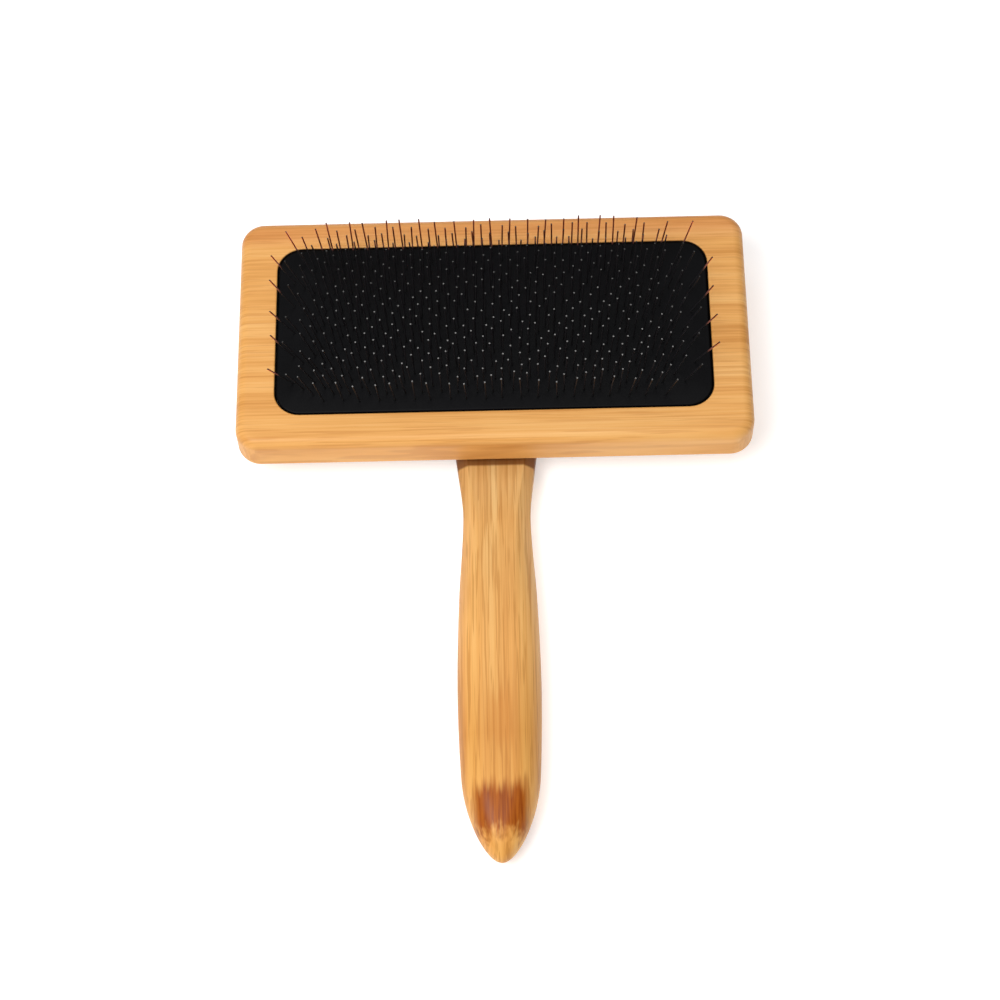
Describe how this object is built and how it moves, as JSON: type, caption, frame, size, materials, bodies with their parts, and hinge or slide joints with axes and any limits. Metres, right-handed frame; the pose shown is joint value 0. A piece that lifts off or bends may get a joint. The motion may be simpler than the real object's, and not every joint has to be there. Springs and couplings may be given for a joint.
{
  "type": "slicker brush",
  "caption": "Pet slicker brush: bamboo head with a cushioned pad of fine wire staple pins, and a bamboo handle lapped behind it.",
  "frame": {"origin": "middle of the bounding box's underside: the brush lies on its back, pins up", "axes": "+X along the head, across the handle; +Y from the handle's tip towards the head; +Z the way the pins point"},
  "size_m": [0.12, 0.1574, 0.0325],
  "materials": {
    "head_bamboo": "golden bamboo board, grain along the head, thin satin lacquer",
    "handle_bamboo": "golden bamboo board, grain along the handle, thin satin lacquer",
    "zinc_screw": "zinc-plated steel",
    "foam": "open-cell sponge",
    "backing_cloth": "laminated cotton foundation cloth",
    "black_rubber": "smooth black rubber, satin",
    "pin_wire": "bright drawn steel wire with ground points"
  },
  "bodies": {
    "brush": {"head_block": "head_bamboo", "handle": "handle_bamboo", "handle_screws": "zinc_screw", "foam_cushion": "foam"},
    "pin_pad": {"backing_cloth": "backing_cloth", "rubber_face": "black_rubber", "pin_row_01": "pin_wire", "pin_row_02": "pin_wire", "pin_row_03": "pin_wire", "pin_row_04": "pin_wire", "pin_row_05": "pin_wire", "pin_row_06": "pin_wire", "pin_row_07": "pin_wire", "pin_row_08": "pin_wire", "pin_row_09": "pin_wire", "pin_row_10": "pin_wire", "pin_row_11": "pin_wire", "pin_row_12": "pin_wire", "pin_row_13": "pin_wire", "pin_row_14": "pin_wire", "pin_row_15": "pin_wire", "pin_row_16": "pin_wire", "pin_row_17": "pin_wire", "pin_row_18": "pin_wire", "pin_row_19": "pin_wire", "pin_row_20": "pin_wire", "pin_row_21": "pin_wire", "pin_row_22": "pin_wire", "pin_row_23": "pin_wire", "pin_row_24": "pin_wire"}
  },
  "joints": [
    {"name": "pad_press", "type": "slide", "parent": "brush", "child": "pin_pad", "axis": [0, 0, -1], "range_m": [0, 0.0015], "stiffness_N_per_m": 6000, "deforming": ["foam_cushion"]}
  ]
}
